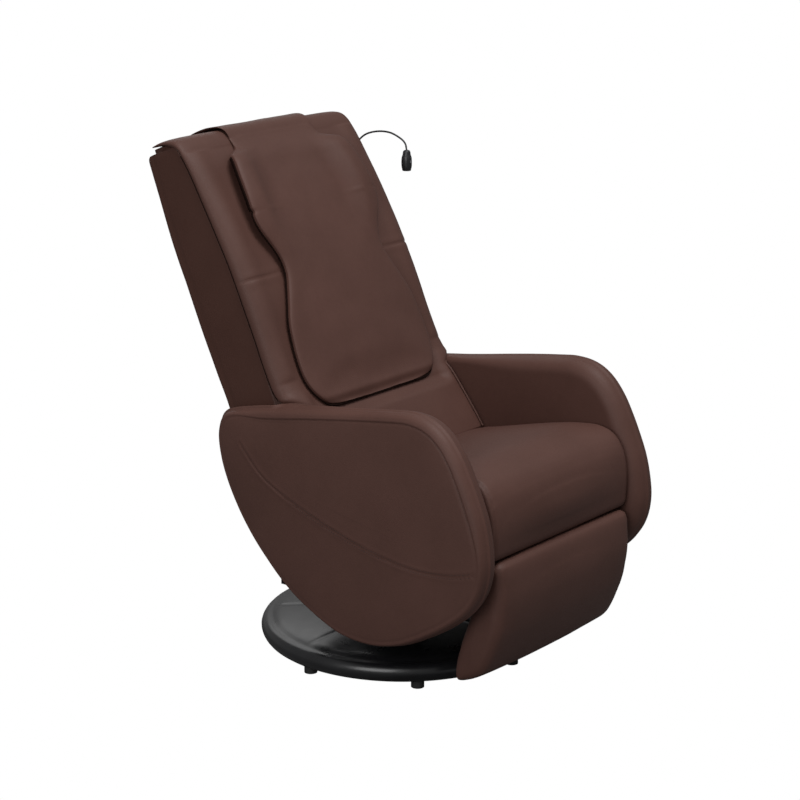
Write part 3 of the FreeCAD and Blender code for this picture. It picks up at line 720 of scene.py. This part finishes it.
def across_loft(name, outline, half, columns, corner, crown):
    """A cushion with the same side view all the way across, drawn in and rounded at both ends.

    outline is a closed list of (y, z); corner is the end rounding; crown(y, z, share) lifts a point.
    """
    outline = np.array(outline)
    middle = outline.mean(0)
    tangent = np.roll(outline, -1, 0) - np.roll(outline, 1, 0)
    normal = np.stack([tangent[:, 1], -tangent[:, 0]], 1)
    normal /= np.linalg.norm(normal, axis=1, keepdims=True)
    if ((outline - middle) * normal).sum() < 0:
        normal = -normal
    rows = []
    for x in columns:
        edge = half - abs(x)
        drawn = 0.0
        if edge < corner:
            drawn = corner - math.sqrt(max(corner ** 2 - (corner - edge) ** 2, 0.0))
        row = []
        for index, (y, z) in enumerate(outline):
            lift = crown(y, z, abs(x) / half)
            spot = outline[index] - normal[index] * drawn + normal[index] * lift
            row.append(Vector((x, spot[0], spot[1])))
        rows.append(row)
    return solid(name, rows)


def columns_for(half, corner, count):
    """Stations across a cushion, closer together at its rounded ends."""
    flat = list(np.linspace(-(half - corner), half - corner, count))
    steps = 8
    curve = [half - corner * (1 - math.sin(math.pi / 2 * step / steps)) for step in range(1, steps + 1)]
    return [-value for value in reversed(curve)] + flat + curve


# Side views, as (y, z), of the seat cushion and of the hanging leg rest.
SEAT_SIDE = [
    (0.015, 0.379), (0.016, 0.402), (0.012, 0.4275), (-0.01, 0.4355), (-0.048, 0.4395), (-0.072, 0.4465),
    (-0.12, 0.457), (-0.2, 0.477), (-0.28, 0.495), (-0.335, 0.503), (-0.37, 0.502), (-0.396, 0.49),
    (-0.4135, 0.466), (-0.4235, 0.432), (-0.4265, 0.392), (-0.4245, 0.352), (-0.4225, 0.339),
    (-0.413, 0.3325), (-0.403, 0.339), (-0.4, 0.36), (-0.399, 0.376), (-0.38, 0.378), (-0.2, 0.378),
    (-0.05, 0.378)
]
LEG_SIDE = [
    (-0.424, 0.3287), (-0.4325, 0.324), (-0.4365, 0.31), (-0.438, 0.285), (-0.4385, 0.25), (-0.4345, 0.215),
    (-0.4265, 0.178), (-0.415, 0.147), (-0.403, 0.119), (-0.39, 0.094), (-0.378, 0.08), (-0.362, 0.07),
    (-0.338, 0.058), (-0.321, 0.052), (-0.313, 0.058), (-0.315, 0.09), (-0.328, 0.14), (-0.348, 0.2),
    (-0.362, 0.25), (-0.373, 0.295), (-0.386, 0.318), (-0.404, 0.327)
]


def make_seat():
    half = ARM_INNER - 0.0012
    corner = 0.013

    def crown(y, z, share):
        top = smooth(0.42, 0.47, z) * smooth(0.0, 0.10, -y - 0.03)
        front = smooth(0.36, 0.42, z) * smooth(0.38, 0.42, -y)
        return (0.005 * top + 0.004 * front) * (1 - share ** 2.5)

    cushion = across_loft("seat_cushion_cover", spline(SEAT_SIDE, 150, closed=True), half,
                          columns_for(half, corner, 60), corner, crown)

    def sewn(point):
        return point.z < 0.40 and point.y > -0.405 or point.z < 0.345 or point.y > -0.03

    puff(cushion, voxel=0.007, pressure=3.0, cap=0.007, held=sewn)
    refine(cushion)
    keep_inside(cushion, half)
    groove_sides(cushion, half - 0.0085)
    finish(cushion, "seat", "leather", ["seat_cushion"])


def keep_inside(thing, half):
    for vert in thing.data.vertices:
        vert.co.x = min(max(vert.co.x, -half), half)


def groove_sides(thing, at):
    """The sewn line that runs along each side of a cushion's top."""
    normals = [vert.normal.copy() for vert in thing.data.vertices]
    for vert, normal in zip(thing.data.vertices, normals):
        gap = abs(abs(vert.co.x) - at)
        if gap < 0.01:
            vert.co -= normal * (0.0018 * math.exp(-(gap / 0.0024) ** 2))


make_seat()


def make_legrest():
    half = LEGREST_HALF - 0.001
    corner = 0.020

    def crown(y, z, share):
        front = smooth(0.345, 0.385, -y + 0.22 * (0.25 - z))
        return 0.003 * front * (1 - share ** 2.5)

    pad = across_loft("legrest_cover", spline(LEG_SIDE, 130, closed=True), half,
                      columns_for(half, corner, 56), corner, crown)

    def sewn(point):
        return point.z > 0.318 or point.y > -0.345 + 0.35 * (0.2 - point.z)

    puff(pad, voxel=0.007, pressure=3.0, cap=0.006, held=sewn)
    refine(pad)
    keep_inside(pad, half)
    finish(pad, "legrest", "leather", ["legrest_pad"])


make_legrest()

# ---- back

# By height up the back: the depth of the cover's side edges and of its middle, the (height, depth) pairs of
# its two cross seams, the rear of the box behind it and the limit of that box's front.
EDGE_DEPTH = [
    (-0.211, 0.236), (-0.1685, 0.226), (-0.119, 0.2125), (-0.07, 0.1975), (-0.045, 0.183), (-0.01, 0.16),
    (0.052, 0.1535), (0.115, 0.1525), (0.173, 0.15), (0.235, 0.1475), (0.286, 0.144), (0.332, 0.1385),
    (0.375, 0.133), (0.426, 0.126), (0.477, 0.119), (0.52, 0.11), (0.545, 0.101)
]
CROWN_DEPTH = [
    (-0.211, 0.249), (-0.1685, 0.2395), (-0.119, 0.226), (-0.07, 0.212), (-0.045, 0.2035), (0.0, 0.187),
    (0.06, 0.181), (0.18, 0.1775), (0.24, 0.173), (0.31, 0.1655), (0.4, 0.151), (0.47, 0.136), (0.51, 0.126),
    (0.545, 0.113)
]

COVER_SEAMS = ((0.2385, 0.0020), (0.010, 0.0013))
BODY_REAR = [
    (-0.225, 0.06), (-0.16, 0.03), (-0.1, 0.012), (0.018, 0.01), (0.077, 0.006), (0.172, 0.001),
    (0.266, -0.001), (0.361, -0.004), (0.454, -0.001), (0.545, 0.002)
]
BODY_FRONT = [(-0.225, 0.125), (-0.150, 0.149), (-0.149, 0.149)]

# By height as well, of the loose pad: its half width, the depth of its rear face and how far its sides rise.
PAD_HALF = [
    (-0.065, 0.096), (-0.0645, 0.142), (-0.059, 0.168), (-0.047, 0.1845), (-0.026, 0.199), (0.002, 0.2085),
    (0.036, 0.211), (0.077, 0.208), (0.126, 0.2), (0.165, 0.185), (0.196, 0.172), (0.228, 0.16),
    (0.258, 0.159), (0.289, 0.17), (0.326, 0.189), (0.353, 0.197), (0.387, 0.197), (0.448, 0.19),
    (0.498, 0.1765), (0.505, 0.169), (0.511, 0.153), (0.518, 0.137), (0.526, 0.1325), (0.545, 0.1315)
]
PAD_REAR = [
    (-0.065, 0.2), (-0.04, 0.1935), (0.0, 0.1868), (0.06, 0.1835), (0.18, 0.18), (0.31, 0.1675),
    (0.4, 0.1545), (0.47, 0.14), (0.51, 0.129), (0.545, 0.115)
]
PAD_LIFT = [
    (-0.065, 0.0), (0.05, 0.001), (0.17, 0.003), (0.26, 0.006), (0.33, 0.013), (0.4, 0.02), (0.46, 0.02),
    (0.5, 0.015), (0.516, 0.002), (0.545, 0.0)
]
NICK_HEIGHT = 0.372
NICK_SIZE = 0.0042


def crowded(steps):
    """Shares from -1 to 1 across a width, closer together at both ends."""
    return [math.sin((-1 + 2 * step / steps) * math.pi / 2) for step in range(steps + 1)]


def cover_half(height):
    """The cover is as wide as the back above the arms, and fits between them below."""
    low = ARM_INNER - 0.0022
    return low + (BACK_HALF + 0.0012 - low) * smooth(-0.056, -0.022, height)


def make_back_cover():
    """The front cover of the back, up to the flap that it folds over the top, with its piping, and dark strips of
    painted shadow along its side edges.
    """
    over = spline([(0.1195, 0.53), (0.114, 0.546), (0.104, 0.562), (0.088, 0.5705), (0.068, 0.574),
                   (0.05, 0.5745), (0.032, 0.5725)], 50)
    under = spline([(0.106, 0.53), (0.1, 0.542), (0.09, 0.552), (0.078, 0.559), (0.064, 0.564),
                    (0.048, 0.5672), (0.032, 0.5675)], 50)
    rows = []
    width_steps = 72
    for height in np.linspace(-0.211, 0.530, 190):
        rows.append(cover_row(height, width_steps))
    for (top_depth, top_height), (low_depth, low_height) in zip(over[1:], under[1:]):
        row = []
        half = cover_half(top_height)
        for share in crowded(width_steps):
            full = (1 - abs(share) ** 9) ** (1 / 4)
            depth = low_depth + (top_depth - low_depth) * full
            height = low_height + (top_height - low_height) * full
            row.append(on_back(share * half, depth, height))
        row += underside(half, low_depth, low_height, width_steps)
        rows.append(row)
    cover = solid("back_cover", rows)
    finish(cover, "backrest", "leather", ["back_cushion"])
    cords = []
    for side in (-1, 1):
        for inset, rise in ((0.0012, 0.0085), (0.0085, 0.0128)):
            path = [on_back(side * (cover_half(height) - inset), lookup(EDGE_DEPTH, height) + rise, height)
                    for height in np.linspace(-0.2105, -0.035, 80)]
            cords.append(tube("cover_cord", path, 0.0013, 8))
    finish(join("back_cover_piping", cords), "backrest", "leather")
    # Dark strips along both side edges, where the cover meets the box: painted shadow in that gap.
    edges = []
    for side in (-1, 1):
        path = [on_back(side * (BACK_HALF + 0.0006), lookup(EDGE_DEPTH, height) - 0.0040, height)
                for height in np.linspace(-0.020, 0.528, 160)]
        edges.append(tube("cover_gap_shadow", path, 0.0012, 8))
    finish(join("back_cover_gap_shadows", edges), "backrest", "leather", material=painted_gap_shadow)


def pad_half(height):
    """The pad's half width; a small nick marks where its head part begins."""
    return lookup(PAD_HALF, height) - NICK_SIZE * math.exp(-((height - NICK_HEIGHT) / NICK_SIZE) ** 2)


def pressed(depth, x, height):
    """The loose pad leans into the cover, which is soft below it."""
    limit = lookup(PAD_REAR, height) - 0.0016
    half = lookup(PAD_HALF, max(height, -0.026))
    near = smooth(half + 0.034, half, abs(x)) * smooth(-0.100, -0.068, height)
    return depth - max(0.0, depth - limit) * near


def seam_dent(height, share):
    """Two seams run across the cover, with a slight gather beside each."""
    dent = 0.0
    for line, depth in COVER_SEAMS:
        line += 0.003 * math.cos(3 * share)
        gap = abs(height - line)
        dent -= depth * math.exp(-(gap / 0.0018) ** 2)
        dent += 0.3 * depth * math.exp(-((gap - 0.010) / 0.007) ** 2)
    return dent


def cover_row(height, steps):
    """One level of the cover, round its front and back along its inner face."""
    half = cover_half(height)
    edge = lookup(EDGE_DEPTH, height)
    crown = lookup(CROWN_DEPTH, height)
    row = []
    for share in crowded(steps):
        full = (1 - abs(share) ** 18) ** (1 / 2.2)
        depth = edge + (crown - edge) * full
        here = on_back(share * half, depth, height)
        depth += 0.0048 * math.exp(-((abs(share) - 0.88) / 0.09) ** 2) * smooth(0.0, 0.03, height)
        depth += seam_dent(height, share) * min(1.0, 2.5 * full) + wobble(here, 0.11, 0.0010, 7.0) * full
        row.append(on_back(share * half, pressed(depth, share * half, height), height))
    return row + underside(half, edge - 0.004, height, steps)


def underside(half, depth, height, steps):
    """The cover's hem: a thin turned edge outside the side panels, and a hollow inner face."""
    row = []
    for step in range(steps // 2 + 1):
        share = 1 - 2 * step / (steps // 2)
        row.append(on_back(share * (half - 0.0006), depth, height))
    return row


make_back_cover()


def make_back_body():
    """The leather-wrapped box of the back: two side panels and a rear panel, with soft edges."""
    rows = []
    half = BACK_HALF - 0.0008
    corner = 0.007
    top = 0.541
    top_round = 0.0135
    heights = list(np.linspace(-0.225, -0.10, 16)) + list(np.linspace(-0.09, top, 100))
    for height in heights:
        front = min(lookup(EDGE_DEPTH, max(height, 0.0)) - 0.0045, 0.149)
        rear = lookup(BODY_REAR, height)
        front = min(front, lookup(BODY_FRONT, height))
        rows.append(body_row(half, front, rear, height, corner))
    for step in range(1, 9):
        angle = math.pi / 2 * step / 8
        height = top + top_round * math.sin(angle)
        shrink = top_round * (1 - math.cos(angle))
        front = lookup(EDGE_DEPTH, 0.545) - 0.0045 - shrink
        rows.append(body_row(half - shrink * 0.25, front, 0.002 + shrink * 0.5, height, corner))
    # A narrower core above the box fills the cover's flap.
    for height in (0.5548, 0.5600, 0.5645):
        rows.append(body_row(half - 0.011, 0.084, 0.018, height, corner))
    body = solid("back_body", rows)
    # The darker leather paints shade on the box's side panels.
    finish(body, "backrest", "leather_side", ["back_shell"])


def body_row(half, front, rear, height, corner):
    """One level of the back's box, starting at the left front and going round the rear."""
    points = []
    for depth in np.linspace(front, rear + corner, 22)[:-1]:
        bow = 0.0015 * math.sin(math.pi * (front - depth) / max(front - rear, 1e-3))
        seam = -0.0016 * math.exp(-((depth - rear - 0.019) / 0.0022) ** 2)
        points.append((-(half - 0.0015 + bow + seam), depth))
    for step in range(9):
        angle = math.pi / 2 * step / 8
        x = -(half - 0.0015) + corner * (1 - math.cos(angle))
        points.append((x, rear + corner * (1 - math.sin(angle))))
    inner = half - 0.0015 - corner
    for x in np.linspace(-inner, 0, 20)[1:]:
        hollow = 0.0012 * math.cos(math.pi / 2 * x / inner)
        points.append((x, rear + hollow))
    mirrored = [(-x, depth) for x, depth in reversed(points[:-1])]
    ring = points + mirrored
    lined = []
    for x, depth in ring:
        here = on_back(x, depth, height)
        lined.append(on_back(x + math.copysign(wobble(here, 0.13, 0.0006, 3.0), x), depth, height))
    return lined


make_back_body()


# ---- loose back pad and its strap

def pad_body(share, height):
    """The pad's thickness: thin bound edges, a soft middle and two wings that cradle the head."""
    edge = 1 - abs(share) ** 7
    ends = smooth(-0.065, -0.043, height)
    body = (0.0085 + 0.0095 * edge ** 0.5) * (0.36 + 0.64 * ends)
    level = math.exp(-((height - 0.400) / 0.085) ** 4)
    wing = 0.0035 * level * math.exp(-((abs(share) - 0.80) / 0.10) ** 2)
    hollow = -0.0015 * level * math.exp(-(share / 0.45) ** 2)
    fade = 1 - 0.62 * smooth(0.480, 0.540, height)
    return (body + wing + hollow) * fade


def pad_row(half, height, steps):
    """One level of the pad, along its front and back along its rear."""
    rear = lookup(PAD_REAR, height)
    lift = lookup(PAD_LIFT, height)
    front_row = []
    rear_row = []
    for share in crowded(steps):
        thick = pad_body(share, height)
        raised = lift * smooth(0.45, 1.0, abs(share))
        x = share * half
        here = on_back(x, rear, height)
        soft = wobble(here, 0.09, 0.0014, 20.0) * (1 - abs(share) ** 6)
        front_row.append(on_back(x, rear + thick + raised + soft, height))
        rear_row.append(on_back(x, rear + raised * 0.9, height))
    return front_row + rear_row[::-1][1:-1]


def make_back_pad():
    """The loose pad and, in one piece with it, the strap that goes over the top and hangs behind."""
    steps = 72
    rows = [pad_row(0.096, -0.0652, steps), pad_row(0.124, -0.0649, steps)]
    for height in list(np.linspace(-0.0645, 0.490, 130)) + list(np.linspace(0.492, 0.5445, 28)):
        rows.append(pad_row(pad_half(height), height, steps))
    over = spline([(0.1225, 0.5445), (0.113, 0.564), (0.096, 0.5765), (0.07, 0.583), (0.042, 0.585),
                   (0.015, 0.5845), (-0.006, 0.58), (-0.015, 0.569), (-0.0165, 0.552),
                   (-0.0165, 0.515), (-0.016, 0.472)], 64)
    inward = sideways(over)
    if ((over.mean(0) - over) * inward).sum() < 0:
        inward = -inward
    for index in range(1, len(over)):
        part = index / (len(over) - 1)
        half = PAD_HALF[-1][1] + 0.002 * smooth(0.0, 0.3, part)
        thick = 0.0048 + 0.0026 * (1 - smooth(0.0, 0.12, part))
        depth, height = over[index]
        outer_row = []
        inner_row = []
        for share in crowded(steps):
            full = thick * (1 - abs(share) ** 10) ** 0.5 + 0.0006
            soft = wobble(on_back(share * half, depth, height), 0.07, 0.0007, 31.0)
            outer = over[index] - inward[index] * (soft - 0.0012 * (1 - smooth(0, 0.1, part)))
            inner = over[index] + inward[index] * full
            outer_row.append(on_back(share * half, *outer))
            inner_row.append(on_back(share * half, *inner))
        rows.append(outer_row + inner_row[::-1][1:-1])
    pad = solid("back_pad_cover", rows)

    def sewn(point):
        spot = np.array(point) - BACK_FOOT
        height = spot @ UP_BACK
        depth = spot @ OUT_BACK
        rim = lookup(PAD_HALF, height) - abs(point.x)
        return rim < 0.012 or height > 0.500 or depth < 0.05 or depth < lookup(PAD_REAR, height) + 0.004

    puff(pad, voxel=None, pressure=2.2, cap=0.005, held=sewn)
    refine(pad)
    paint(pad, "leather", ["back_pad", "pad_strap"])
    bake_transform(pad)
    # The binding round the pad's rim sits at the foot of its edge in the near-black material: partly the binding,
    # partly a painted shadow under the raised edge.
    rim = [(pad_half(height), height) for height in np.linspace(0.498, -0.049, 190)]
    right = [on_back(x + 0.0012, lookup(PAD_REAR, h) + lookup(PAD_LIFT, h) + 0.0022, h) for x, h in rim]
    right += [on_back(x, lookup(PAD_REAR, h) + 0.0020, h)
              for x, h in [(0.1720, -0.0600), (0.146, -0.0668), (0.096, -0.0681), (0.0, -0.0681)]]
    left = [Vector((-point.x, point.y, point.z)) for point in reversed(right[:-1])]
    binding = tube("back_pad_binding_and_shadow", spline([tuple(point) for point in right + left], 420), 0.0018, 8)
    finish(binding, "back_pad", "leather", material=painted_gap_shadow)
    # Dark strips under the raised sides of the head part: painted shadow in the gap between the pad and the cover.
    shadow_strips = []
    for side in (-1, 1):
        line = [on_back(side * (pad_half(h) - 0.0006), lookup(PAD_REAR, h) + lookup(PAD_LIFT, h) - 0.0014, h)
                for h in np.linspace(0.376, 0.496, 60)]
        shadow_strips.append(tube("back_pad_gap_shadow", line, 0.0030, 8))
    finish(join("back_pad_gap_shadows", shadow_strips), "back_pad", "leather", material=painted_gap_shadow)


make_back_pad()


# ---- base

def make_base():
    """A low round cover with a double-rolled rim and shallow radial creases."""
    profile = [
        (0.064, 0.0745), (0.09, 0.0745), (0.13, 0.0738), (0.18, 0.0722), (0.23, 0.0696), (0.262, 0.0668),
        (0.274, 0.0645), (0.281, 0.0612), (0.286, 0.059), (0.291, 0.059), (0.297, 0.0585), (0.3035, 0.0545),
        (0.308, 0.048), (0.3098, 0.0415), (0.309, 0.0345), (0.306, 0.0275), (0.302, 0.0225),
        (0.2985, 0.0203), (0.295, 0.0203), (0.2965, 0.026), (0.301, 0.036), (0.3015, 0.044), (0.296, 0.052),
        (0.28, 0.055), (0.26, 0.06), (0.18, 0.066), (0.064, 0.069)
    ]
    fine = spline(profile, 110, closed=True)
    turns = 252
    sector_angle = 2 * math.pi / 7
    first_crease = math.radians(225.5)
    rows = []
    for radius, height in fine:
        row = []
        for angle in circle(turns):
            sector = (angle - first_crease) / sector_angle
            gap = abs(sector - round(sector)) * sector_angle * radius
            mask = smooth(0.120, 0.150, radius) * smooth(0.283, 0.270, radius) * (height > 0.062)
            dent = 0.0016 * math.exp(-(gap / 0.0045) ** 2) * mask
            row.append(Vector((radius * math.cos(angle), radius * math.sin(angle), height - dent)))
        rows.append(row)
    cover = grid("base_cover_moulding", rows, close_rows=True, close_columns=True)
    widest = max(radius for radius, _ in profile)
    cover.scale = (BASE_RIM / widest, BASE_RIM / widest, 1)
    bpy.context.view_layer.update()
    cover.data.transform(cover.matrix_world)
    cover.scale = (1, 1, 1)
    finish(cover, "base", "base_gloss", ["base_cover"])


make_base()


# ---- lamp

def make_lamp():
    """The ribbed gooseneck with its collar and knuckle, and the capsule head with a knurled grip."""
    x = LAMP_BALL.x
    route = [
        (BACK_HALF + 0.005, 0.38, 1.0), (x - 0.01, 0.38, 1.001), (x - 0.002, 0.3785, 1.008),
        (x, 0.3715, 1.026), (x, 0.346, 1.047), (x, 0.31, 1.0575), (x, 0.274, 1.058), (x, 0.244, 1.048),
        (x, 0.23, 1.037), (x, LAMP_BALL.y, LAMP_BALL.z + 0.002)
    ]
    path = spline(route, 420)

    def ribbed(run):
        return 0.002 + 0.00025 * math.cos(2 * math.pi * run / 0.002)

    stem = tube("lamp_gooseneck", path, ribbed, 14)
    ball = [
        (0, 0.0049), (0.0025, 0.0042), (0.0042, 0.0025), (0.0049, 0), (0.0042, -0.0025), (0.0025, -0.0042),
        (0, -0.0049)
    ]
    knuckle = lathe("lamp_knuckle", ball, LAMP_BALL, 32)
    ferrule = [(0, 0), (0.0068, 0), (0.0072, 0.002), (0.0052, 0.006), (0.0032, 0.01), (0, 0.01)]
    collar = lathe("lamp_collar", ferrule, (BACK_HALF + 0.0115, 0.380, 1.000), 32, (1, 0, 0))
    whole = join("lamp_gooseneck_all", [stem, knuckle, collar])
    finish(whole, "lamp_stem", "black_plastic", ["lamp_stem"])
    profile = [
        (0.0005, -0.0052), (0.003, -0.004), (0.0046, -0.001), (0.0045, 0.0018), (0.005, 0.0029),
        (0.0062, 0.0028), (0.0076, 0.0012), (0.0086, -0.0018), (0.009, -0.006), (0.0096, -0.0085),
        (0.0106, -0.0105), (0.0113, -0.015), (0.0117, -0.0215), (0.0116, -0.029), (0.0112, -0.0355),
        (0.0104, -0.0392), (0.0102, -0.04), (0.0099, -0.042), (0.0093, -0.0431), (0.0085, -0.0431),
        (0.0082, -0.042), (0.0081, -0.037), (0.004, -0.0345), (0.0005, -0.034)
    ]
    rows = []
    turns = 72
    for radius, height in profile:
        row = []
        for angle in circle(turns):
            grip = 0.0004 * smooth(-0.038, -0.034, height) * smooth(-0.012, -0.016, height)
            size = max(radius, 1e-5) + grip * (0.5 + 0.5 * math.cos(18 * angle))
            row.append(LAMP_BALL + Vector((size * math.cos(angle), size * math.sin(angle), height)))
        rows.append(row)
    head = solid("lamp_head_shell", rows)
    finish(head, "lamp_head", "black_plastic", ["lamp_head"])


make_lamp()


# ---- stage, light and camera

FLOOR_HALF = 12
WORLD_STRENGTH = 0.29
# Name, place, target, width in metres and power in watts.
LIGHTS = (
    ("key", (-0.3, -2.2, 7.5), (0, 0, 0.5), 3.6, 440),
    ("side", (-4.4, -1.3, 2.3), (0, 0, 0.5), 2.6, 92),
    ("back", (1.6, 2.8, 2.6), (0, 0, 0.6), 2.0, 14),
)


def white_to_camera(tree, surface, output):
    """Shows plain white to the camera, while every other ray meets the given surface."""
    path = tree.nodes.new("ShaderNodeLightPath")
    kind = "Background" if surface.node.type == "BACKGROUND" else "Emission"
    white = new_node(tree, kind, Color=(1, 1, 1, 1), Strength=1.0)
    mix = tree.nodes.new("ShaderNodeMixShader")
    tree.links.new(path.outputs["Is Camera Ray"], mix.inputs[0])
    tree.links.new(surface, mix.inputs[1])
    tree.links.new(white.outputs[0], mix.inputs[2])
    tree.links.new(mix.outputs[0], output)


def make_stage():
    """A floor that looks white to the camera and is dark grey to the light."""
    material, tree, shader, place = new_material("floor_paint")
    tint(tree, shader, noise_node(tree, place, 3, 2), (0.14, 0.14, 0.14), (0.16, 0.16, 0.16))
    shader.inputs["Roughness"].default_value = 0.8
    white_to_camera(tree, shader.outputs[0], tree.nodes["Material Output"].inputs["Surface"])
    corners = [(FLOOR_HALF * x, FLOOR_HALF * y, 0) for x, y in ((-1, -1), (1, -1), (1, 1), (-1, 1))]
    floor = make_object("floor", corners, [(0, 1, 2, 3)])
    floor.data.materials.append(material)


def area_light(name, place, target, width, power):
    data = bpy.data.lights.new(name, "AREA")
    data.shape = "SQUARE"
    data.size = width
    data.energy = power
    lamp = bpy.data.objects.new(name, data)
    lamp.location = place
    lamp.rotation_euler = (Vector(target) - Vector(place)).to_track_quat("-Z", "Y").to_euler()
    bpy.context.scene.collection.objects.link(lamp)


def make_light():
    world = bpy.data.worlds.new("studio")
    world.use_nodes = True
    tree = world.node_tree
    sky = tree.nodes["Background"]
    sky.inputs["Color"].default_value = (1, 1, 1, 1)
    sky.inputs["Strength"].default_value = WORLD_STRENGTH
    white_to_camera(tree, sky.outputs[0], tree.nodes["World Output"].inputs["Surface"])
    bpy.context.scene.world = world
    for light in LIGHTS:
        area_light(*light)


def make_camera():
    """It looks along a bearing of 51 degrees from +Y, 15.7 degrees down, through a long lens."""
    turn = math.radians(51)
    dip = math.radians(15.7)
    ahead = Vector((math.sin(turn) * math.cos(dip), math.cos(turn) * math.cos(dip), -math.sin(dip)))
    data = bpy.data.cameras.new("camera")
    data.lens = 101.25
    data.sensor_width = 36
    data.clip_end = 60
    camera = bpy.data.objects.new("camera", data)
    camera.location = (-3.6114, -2.9173, 1.8498)
    camera.rotation_euler = ahead.to_track_quat("-Z", "Y").to_euler()
    bpy.context.scene.collection.objects.link(camera)
    bpy.context.scene.camera = camera
    bpy.context.scene.view_settings.view_transform = "Standard"


make_stage()
make_light()
make_camera()
